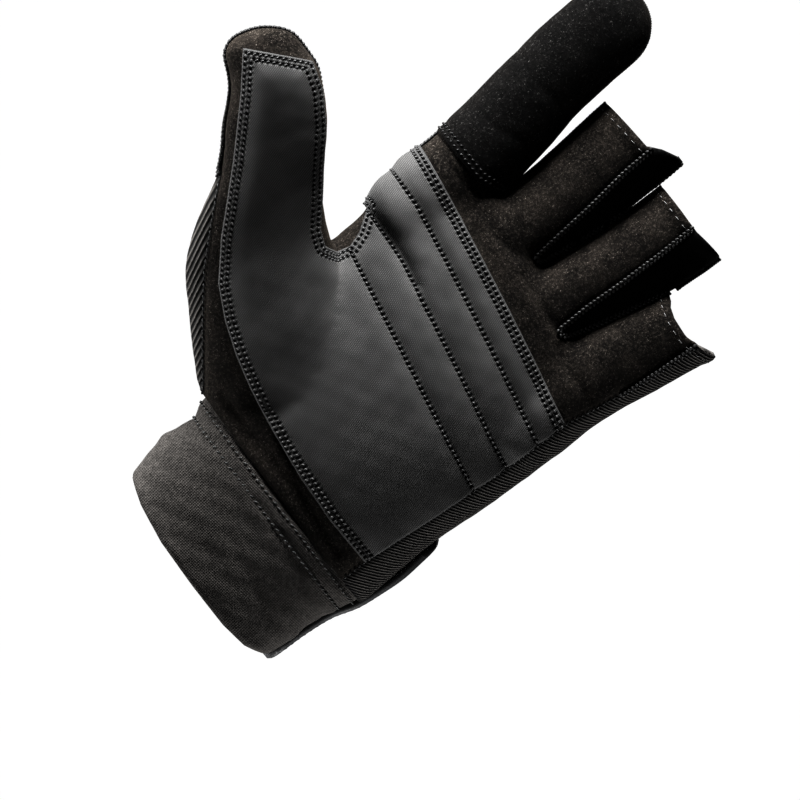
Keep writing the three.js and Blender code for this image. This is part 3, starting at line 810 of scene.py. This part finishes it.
QUILT = (
    ((-42.2, 94.9), (-20, 89.6), (0, 85), (20, 80.4), (36, 77)),
    ((-49.5, 107), (-30, 104.4), (-10, 99.9), (10, 95.2), (25, 91.4), (39, 88.4)),
    ((-54, 120.2), (-40, 118.6), (-20, 114.3), (0, 109.6), (20, 104.8), (41, 99.8)),
)
beside_seam = tuple((x - 0.6, z) for x, z in LITTLE_SIDE_SEAM if 40 < z < 108)
overlay_outline = (*TIP, *HEEL, *beside_seam, *DISTAL, (-53.5, 107.2), *NOTCH)
reach = palm_side(glove.co) - OVERLAY_INSET
overlay = glove.cut(np.minimum(inside_of(glove.flat, overlay_outline), reach)).finer()
overlay.nrm = unit(eased(overlay.nrm, links_of(overlay.tri), NORMAL_EASING))
sewn_edge = np.minimum(
    distance_to(overlay.flat, (*DISTAL, (-64, 133.4)))[0],
    distance_to(overlay.flat, (*NOTCH, *TIP, *HEEL, (48, 38.6)))[0],
)
rim = np.minimum(inside_of(overlay.flat, overlay_outline), palm_side(overlay.co) - OVERLAY_INSET)
quilt_gap = np.min([distance_to(overlay.flat, line)[0] for line in QUILT], axis=0)


def evenly(line, pitch, start=0.0):
    """Points, normals and directions along a line, one pitch apart."""
    step = np.linalg.norm(np.diff(line[:, :3], axis=0), axis=1)
    length = np.concatenate([[0], np.cumsum(step)])
    at = np.arange(start, length[-1], pitch)
    values = np.stack([np.interp(at, length, line[:, k]) for k in range(6)], 1)
    look = 0.8
    ahead = np.stack([np.interp(at + look, length, line[:, k]) for k in range(3)], 1)
    behind = np.stack([np.interp(at - look, length, line[:, k]) for k in range(3)], 1)
    run = unit(ahead - behind)
    nrm = unit(values[:, 3:] - run * np.sum(values[:, 3:] * run, axis=1, keepdims=True))
    return values[:, :3], nrm, run


FEWEST_POINTS = 12
stitch_rows = []
for inset in EDGE_ROW_INSETS:
    stitch_rows += overlay.lines(sewn_edge - inset)
for line in QUILT:
    xs, zs = zip(*line)
    for row in overlay.lines(overlay.co[:, 2] - np.interp(overlay.co[:, 0], xs, zs)):
        near = distance_to(row[:, (0, 2)], line)[0]
        clear = inside_of(row[:, (0, 2)], overlay_outline) > 0.6
        stitch_rows.append(row[(near < 0.5) & clear])
stitch_rows = [row for row in stitch_rows if len(row) > FEWEST_POINTS]
MARK_STEP = 0.5
SLIDE_LIMIT = 0.4
marks = []
for row in stitch_rows:
    spots, _, runs = evenly(row, MARK_STEP)
    marks.append(np.c_[spots, runs, np.arange(len(spots)) * MARK_STEP])
marks = np.vstack(marks)
near_row = kdtree.KDTree(len(marks))
for i, mark in enumerate(marks):
    near_row.insert(mark[:3], i)
near_row.balance()
row_gap = np.empty(len(overlay.co))
row_place = np.empty(len(overlay.co))
for i, point in enumerate(overlay.co):
    _, k, gap = near_row.find(point)
    slide = min(max(float((point - marks[k, :3]) @ marks[k, 3:6]), -SLIDE_LIMIT), SLIDE_LIMIT)
    row_place[i] = (marks[k, 6] + slide) / STITCH_PITCH
    row_gap[i] = math.sqrt(max(gap * gap - slide * slide, 0.0))
puff = 1 - bell(np.maximum(sewn_edge - 2.9, 0), 3.0)
channel = CHANNEL_RISE * (1 - bell(quilt_gap, 2.6)) * puff
pull = 0.25 - 0.3 * np.sin(row_place * 2 * math.pi)
rise = OVERLAY_RISE + channel + rolled(rim, 0.7, 0.35) - bell(row_gap, 0.6) * pull

twill = Finish("grey_twill", sheen=0.03, sheen_rough=0.3, sheen_color=(0.9, 0.92, 0.95), specular=0.3)


def thread_wave(finish, pitch_mm, angle):
    """A fine wave across the palm's plane, from 0 to 1."""
    turn = math.radians(angle)
    direction = (math.cos(turn) / pitch_mm * 1000, 0, math.sin(turn) / pitch_mm * 1000)
    values = {0: finish.node("ShaderNodeTexCoord", out="Object"), 1: direction}
    along = finish.node("ShaderNodeVectorMath", {"operation": "DOT_PRODUCT"}, values, out="Value")
    return (along * (2 * math.pi)).sine() * 0.5 + 0.5


warp = thread_wave(twill, pitch_mm=0.54, angle=12)
weft = thread_wave(twill, pitch_mm=0.6, angle=68)
grain = twill.noise(0.8, 3.0, 0.6)
cloudy = twill.noise(14.0, 2.0)
woven = warp * (0.6 + 0.4 * weft)
row_at = twill.measure("row_gap")
# Painted shade: the needle holes between stitches are coloured near black, for the shade inside them; they are
# also dimpled in the bump.
hole = ((twill.measure("row_place") * (2 * math.pi)).sine() * -1.0).ramp(-0.1, 0.4)
hole = hole * (1 - row_at.ramp(0.3, 0.52))
groove = 1 - row_at.ramp(0.1, 0.9)
tone = (0.75 * woven + 0.15 * grain + 0.2 * cloudy.ramp(0.3, 0.7)).held()
color = twill.mixed(tone, (0.024, 0.0245, 0.025, 1), (0.13, 0.128, 0.126, 1))
# Painted shade: a faint dark line along each stitch row, where the cloth dips into the groove.
color = twill.mixed(groove * 0.2, color, (0.02, 0.02, 0.02, 1))
color = twill.mixed(1 - twill.measure("rim").ramp(0.15, 0.5), color, (0.06, 0.06, 0.06, 1))
color = twill.mixed(hole, color, (0.0015, 0.0015, 0.0015, 1))
height = 0.45 * woven + 0.1 * grain - 0.6 * groove - 2.6 * hole
grey_twill = twill.wear(Base_Color=color, Normal=twill.bump(height, 0.17), Roughness=0.78 - 0.12 * woven)
overlay_piece = sew(
    "palm_twill", overlay, rise, OVERLAY_WALL, grey_twill, "twill", "palm_overlay",
    row_gap=row_gap, row_place=row_place, rim=rim,
)


def tubes(paths, thick, outward, sides=6):
    """Round threads through paths, an array of path, point, xyz. thick is the radius along a path."""
    run = unit(np.gradient(paths, axis=1))
    out = unit(outward[:, None, :] - run * np.sum(run * outward[:, None, :], axis=2, keepdims=True))
    beside = np.cross(run, out)
    angle = np.linspace(0, 2 * math.pi, sides, endpoint=False)
    radius = np.reshape(thick, (1, -1, 1, 1))
    ring = np.cos(angle)[:, None] * out[:, :, None, :] + np.sin(angle)[:, None] * beside[:, :, None, :]
    points = (paths[:, :, None, :] + radius * ring).reshape(-1, 3)
    count, length = paths.shape[:2]
    one = np.array(grid_faces(length, sides, False))
    faces = (one[None] + (np.arange(count) * length * sides)[:, None, None]).reshape(-1, 4)
    return points, faces


def thread_finish(name, dark, light, rough):
    yarn = Finish(name, specular=0.45)
    ply = yarn.noise(0.35, 2.0)
    color = yarn.mixed(ply.ramp(0.3, 0.7), dark, light)
    return yarn.wear(Base_Color=color, Normal=yarn.bump(ply, 0.12), Roughness=rough + 0.1 * ply)


grey_thread = thread_finish("grey_thread", (0.04, 0.04, 0.04, 1), (0.17, 0.17, 0.17, 1), 0.4)
dark_thread = thread_finish("dark_thread", (0.012, 0.012, 0.012, 1), (0.055, 0.055, 0.055, 1), 0.4)
seam_thread = thread_finish("seam_thread", (0.03, 0.032, 0.032, 1), (0.12, 0.125, 0.125, 1), 0.4)


def lock_stitches(row, pitch, lift, length=0.72, thick=0.27, lean=0.16):
    """The bars of thread of one row of lockstitch."""
    spots, nrm, runs = evenly(row, pitch, pitch * 0.25)
    t = np.linspace(-1, 1, 7)
    side = np.cross(nrm, runs)
    bar = runs[:, None] * (t * pitch * length / 2)[:, None] + side[:, None] * (t * pitch * lean)[:, None]
    bar = bar + nrm[:, None] * (lift + 0.22 * (1 - t**2) - 0.25 * t**6)[:, None]
    return spots[:, None] + bar, thick * np.sqrt(1.02 - t**4), nrm


def stitch_piece(name, rows, slot, finish, maker):
    """One piece of all the threads along some rows. maker gives the paths for a row."""
    points, faces, used = [], [], 0
    for row in rows:
        more, quads = tubes(*maker(row))
        points.append(more)
        faces.append(quads + used)
        used += len(more)
    return make(name, mesh_of(name, np.vstack(points), np.vstack(faces)), finish, slot)


stitch_piece(
    "overlay_stitches", stitch_rows, "twill", grey_thread,
    lambda row: lock_stitches(row, STITCH_PITCH, lift=OVERLAY_RISE - 0.1, length=0.52, thick=0.21),
)
cover_rows = []
for inset in COVER_ROW_INSETS:
    for row in cover.lines(base - inset):
        cover_rows.append(row[palm_side(row[:, :3]) > 0.8])
cover_rows = [row for row in cover_rows if len(row) > FEWEST_POINTS]
stitch_piece(
    "cover_stitches", cover_rows, "cover_suede", dark_thread,
    lambda row: lock_stitches(row, 1.7, lift=COVER_RISE - 0.1, length=0.5, thick=0.22),
)

# Outseams of the fingers and the thumb. Palm side and back are joined edge to edge on the outside with a close
# overcast stitch over the folded edges, which leaves a raised, knobbly ridge.
OVERCAST_PITCH = 1.4
RIDGE_STEP, RIDGE_RADIUS, RIDGE_SINK = 0.7, 0.62, 0.25


def overcast(row, rise, apart, length, thick):
    """Two rows of short slanting threads, one on each side of a seam and half a step apart."""
    t = np.linspace(-1, 1, 5)
    paths, outward = [], []
    for beside in (-1, 1):
        spots, nrm, runs = evenly(row, OVERCAST_PITCH, OVERCAST_PITCH * (0.5 + 0.25 * beside))
        side = np.cross(nrm, runs) * beside
        bar = (0.8 * runs + 0.6 * side)[:, None] * (t * length / 2)[:, None]
        bar = bar + (side * apart)[:, None] + nrm[:, None] * (rise + 0.2 * (1 - t**2))[:, None]
        paths.append(spots[:, None] + bar)
        outward.append(nrm)
    return np.vstack(paths), thick * np.sqrt(1.02 - t**4), np.vstack(outward)


def ridge_under(row):
    """The fold of cloth under a seam's threads."""
    spots, nrm, _ = evenly(row, RIDGE_STEP)
    path = (spots - nrm * RIDGE_SINK)[None]
    return path, np.full(path.shape[1], RIDGE_RADIUS), nrm.mean(0)[None]


def on_stalls(row):
    """Which points of a seam lie on the fingers or the free part of the thumb."""
    x, z = row[:, 0], row[:, 2]
    return (z > 128) | ((x < -60) & (z > 84)) | ((x < -84) & (z > 76))


def runs_of(row, keep):
    """The stretches of a line where keep is true."""
    change = np.flatnonzero(np.diff(keep.astype(int))) + 1
    parts = zip(np.split(row, change), np.split(keep, change))
    return [part for part, use in parts if use[0] and len(part) > 8]


stall_rows, strip_rows, flat_rows = [], [], []
for row in glove.lines(glove.measures["seam"]):
    stall_rows += runs_of(row, on_stalls(row))
    flat_rows += runs_of(row, ~on_stalls(row))
for finger in ("middle", "ring"):
    for row in palm.lines(palm.measures[finger]):
        strip_rows += runs_of(row, palm_side(row[:, :3]) > 0.3)
# The fold carries no edge measure, so suede() paints its seam shade over all of it.
folded_suede = suede(
    "seam_fold", dark=(0.004, 0.004, 0.004, 1), middle=(0.015, 0.014, 0.013, 1),
    light=(0.05, 0.05, 0.05, 1), grain_mm=0.8, specks=0.3, sheen=0.02,
)
stitch_piece("outseam_fold", stall_rows + strip_rows, "suede", folded_suede, ridge_under)
rope_thread = thread_finish("rope_thread", (0.01, 0.01, 0.01, 1), (0.06, 0.06, 0.06, 1), 0.45)
stitch_piece(
    "outseam_stitches", stall_rows, "suede", rope_thread,
    lambda row: overcast(row, rise=0.4, apart=0.38, length=1.0, thick=0.45),
)
stitch_piece(
    "strip_stitches", strip_rows, "side_knit", rope_thread,
    lambda row: overcast(row, rise=0.25, apart=0.45, length=1.35, thick=0.42),
)
flat_rows += back.lines(back.measures["join"])
stitch_piece(
    "side_seam_stitches", flat_rows, "rib_knit", dark_thread,
    lambda row: lock_stitches(row, 1.8, lift=-0.25, length=0.66, thick=0.25),
)

# Cuff. Soft dark grey knit on thin foam, cut as a sleeve and sewn to the palm and the back by a seam all round.
# Its lower edge is cut in a shallow curve, and two rows of stitches run round its top.
CUFF_ROWS = (
    (-12, 0.6, 0, 33.6, 17.2, 23.4, -0.06),
    (0, 0.5, 0, 34.0, 17.4, 23.1, -0.06),
    (8, 0.0, 0, 35.1, 17.6, 22.8, -0.06),
    (14, -0.4, 0, 36.0, 17.8, 22.5, -0.06),
    (20, 0.5, 0, 35.6, 18.0, 22.0, -0.05),
    (25.5, 1.4, 0, 36.2, 18.2, 21.3, -0.05),
    (31.5, 1.0, 0, 38.9, 18.5, 20.4, -0.05),
    (40, 1.0, 0, 40.5, 19.0, 19.3, -0.05),
)
CUFF_EDGE = (
    (-45, 3.5), (-33, 1), (-25, -1.8), (-12, -4.2), (4, -5.4), (19, -6), (28, -5.2), (34.5, -2.6), (45, 1),
)
CUFF_WALL = 2.4
SEAM_ROW, INNER_ROW = 1.8, 6.2


def tube_of_cloth(rows, squareness, step, sides):
    rings = Tube(rows, squareness=squareness).surface(step, sides)
    quads = np.array(grid_faces(len(rings), sides, False))
    return Cloth(rings.reshape(-1, 3), np.vstack([quads[:, :3], quads[:, (0, 2, 3)]]))


sleeve = tube_of_cloth(CUFF_ROWS, squareness=2.2, step=0.75, sides=280)
xs, zs = zip(*CUFF_EDGE)
sleeve.measures["top"] = CUFF_SEAM_HEIGHT + CUFF_SEAM_RISE * sleeve.co[:, 0] - sleeve.co[:, 2]
sleeve = sleeve.cut(sleeve.measures["top"])
sleeve.measures["brim"] = sleeve.co[:, 2] - np.interp(sleeve.co[:, 0], xs, zs)
sleeve = sleeve.cut(sleeve.measures["brim"])
x, y, z = sleeve.co.T
puff = 0.35 * np.sin(z * 0.42 + x * 0.05 + 0.6) * np.sin(x * 0.11 + y * 0.07 + 0.4)
puff += 0.18 * np.sin(z * 0.9 - x * 0.16) * np.sin(x * 0.33 + 1.7)
top_gap, brim_gap = sleeve.measures["top"], sleeve.measures["brim"]
rise = puff + rolled(top_gap, 0.9, 1.3) + rolled(brim_gap, 0.9, 0.8)
rise -= 0.35 * bell(top_gap - INNER_ROW, 0.9) + 0.2 * bell(top_gap - SEAM_ROW, 0.8)
foam_knit = Finish("cuff_knit", sheen=0.06, sheen_rough=0.35, sheen_color=(0.9, 0.87, 0.84), specular=0.2)
stitch_column = thread_wave(foam_knit, pitch_mm=0.66, angle=4)
stitch_course = thread_wave(foam_knit, pitch_mm=0.62, angle=96)
melange = foam_knit.noise(1.3, 4.0, 0.65)
fluff = foam_knit.noise(0.4, 2.0, 0.7)
patchy = foam_knit.noise(16.0, 2.0)
knit_tone = 0.1 + 0.3 * stitch_column * stitch_course + 0.45 * melange.ramp(0.3, 0.7) + 0.3 * fluff
knit_tone = knit_tone * (0.6 + 0.5 * patchy)
knit_color = foam_knit.mixed(knit_tone.held(), (0.016, 0.0152, 0.0145, 1), (0.13, 0.122, 0.115, 1))
knit_height = stitch_column * stitch_course * 0.6 + fluff * 0.4 + melange * 0.3
cuff_knit = foam_knit.wear(
    Base_Color=knit_color, Normal=foam_knit.bump(knit_height, 0.3), Roughness=0.95 - 0.1 * fluff
)
cuff = sew("cuff_knit", sleeve, rise, CUFF_WALL, cuff_knit, "cuff_knit", "wrist_cuff")
cuff_rows = sleeve.lines(top_gap - SEAM_ROW) + sleeve.lines(top_gap - INNER_ROW)
stitch_piece(
    "cuff_stitches", cuff_rows, "cuff_knit", seam_thread,
    lambda row: lock_stitches(row, 2.1, lift=-0.15, length=0.6, thick=0.2),
)

# Closure strap. A smooth, rubbery strap of about 2 mm over the back of the cuff, with rounded corners. It holds
# by hook and loop on its inside, and its end shows past the little-finger side.
STRAP_ROWS = (
    (-10, 0.6, 0, 35.9, 22.0, 26.4, -0.06),
    (4, 0.2, 0, 36.3, 22.0, 26.0, -0.06),
    (14, -0.4, 0, 37.6, 22.0, 25.5, -0.05),
    (22, 0.6, 0, 37.9, 22.0, 24.8, -0.05),
    (30, 0.8, 0, 40.4, 22.0, 23.5, -0.05),
    (38, 0.5, 0, 42.0, 22.0, 22.3, -0.05),
    (46, -0.2, 0, 43.5, 21.0, 21.0, -0.05),
    (54, -0.9, 0, 43.9, 21.0, 20.2, -0.05),
    (68, -2.2, 0, 44.3, 20.0, 18.9, -0.06),
)
STRAP_WALL = 1.9
STRAP_ROW = 3.2
band = tube_of_cloth(STRAP_ROWS, squareness=2.4, step=0.8, sides=300)


def rounded_gap(p, low, high, radius):
    """Distance into a rectangle with round corners."""
    middle, half = (np.array(low) + high) / 2, (np.array(high) - low) / 2 - radius
    q = np.abs(p - middle) - half
    return radius - np.linalg.norm(np.maximum(q, 0), axis=1) - np.minimum(q.max(1), 0)


from_back = rounded_gap(band.co[:, (0, 2)], (-16, -3), (60, 60), radius=9)
from_side = rounded_gap(band.co[:, (1, 2)], (0.8, -3), (60, 60), radius=7)
band.measures["rim"] = np.minimum(from_back, from_side)
band = band.cut(band.measures["rim"])
rim = band.measures["rim"]
rubber = Finish("strap_rubber", specular=0.5)
pebble = rubber.noise(0.9, 3.0, 0.5)
rubbed = rubber.noise(12.0, 2.0)
rubber_color = rubber.mixed(rubbed.ramp(0.3, 0.7), (0.009, 0.0095, 0.0105, 1), (0.02, 0.021, 0.023, 1))
strap_rubber = rubber.wear(
    Base_Color=rubber_color, Normal=rubber.bump(pebble, 0.05), Roughness=0.42 + 0.2 * pebble + 0.1 * rubbed
)
rise = rolled(rim, 0.7, 0.5) - 0.25 * bell(rim - STRAP_ROW, 0.6)
sew("wrist_strap", band, rise, STRAP_WALL, strap_rubber, "strap_rubber", "closure_strap")
stitch_piece(
    "strap_stitches", band.lines(rim - STRAP_ROW), "strap_rubber", dark_thread,
    lambda row: lock_stitches(row, 2.3, lift=-0.2),
)

# Hem stitches. The short stalls of the middle, ring and little fingers end in a turned hem. One row of thin
# light grey thread holds it on the palm side and the back.
HEM_ROW = 2.2
pale_thread = thread_finish("pale_thread", (0.14, 0.14, 0.14, 1), (0.3, 0.3, 0.3, 1), 0.5)
hem_rows = palm_cloth.lines(palm_cloth.measures["hem"] - HEM_ROW) + back.lines(back.measures["hem"] - HEM_ROW)
stitch_piece(
    "hem_stitches", hem_rows, "suede", pale_thread,
    lambda row: lock_stitches(row, 3.1, lift=0.28, length=0.62, thick=0.15, lean=0.02),
)
